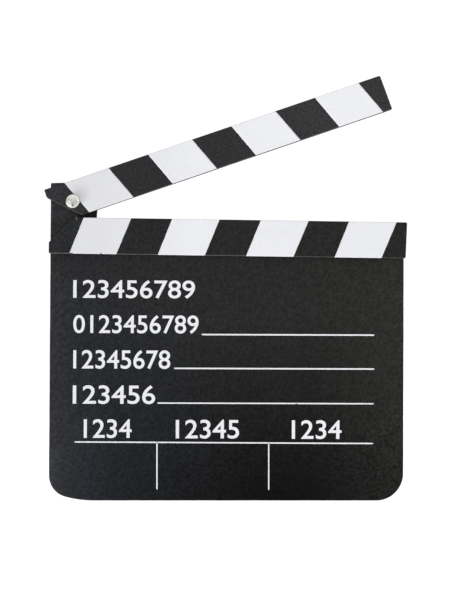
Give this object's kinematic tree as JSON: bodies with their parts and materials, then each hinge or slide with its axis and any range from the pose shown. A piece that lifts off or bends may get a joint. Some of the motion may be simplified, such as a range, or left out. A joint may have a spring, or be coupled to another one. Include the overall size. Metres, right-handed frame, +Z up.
{
  "type": "clapperboard",
  "caption": "Small film slate: black painted fibreboard panel with a fixed striped stick and a hinged striped stick that claps shut on it.",
  "frame": {"origin": "middle of the panel's flat bottom edge, at half its width and half its thickness", "axes": "+X to the right along the sticks away from the hinge, +Z up, the printed face looks towards -Y"},
  "size_m": [0.2027, 0.0188, 0.2382],
  "materials": {
    "board_paint": "matte black paint on fibreboard with white printed rules and numbers",
    "stick_paint": "matte black paint on fibreboard with white printed slanted stripes",
    "nickel": "bright nickel plate",
    "zinc_steel": "zinc plate",
    "nylon": "blue nylon",
    "pin_steel": "steel, heads painted over in black"
  },
  "bodies": {
    "board": {"slate_board": "board_paint", "lower_clapstick": "stick_paint", "pivot_screw": "nickel", "hinge_spacer": "zinc_steel", "rear_washer": "zinc_steel", "lock_nut": "zinc_steel", "nut_locking_ring": "nylon", "panel_pins": "pin_steel"},
    "clapper": {"upper_clapstick": "stick_paint"}
  },
  "joints": [
    {"name": "clapper_hinge", "type": "hinge", "parent": "board", "child": "clapper", "pos_m": [-0.0866, 0, 0.16653], "axis": [0, -1, 0], "range_deg": [-19.78, 76.9]}
  ]
}
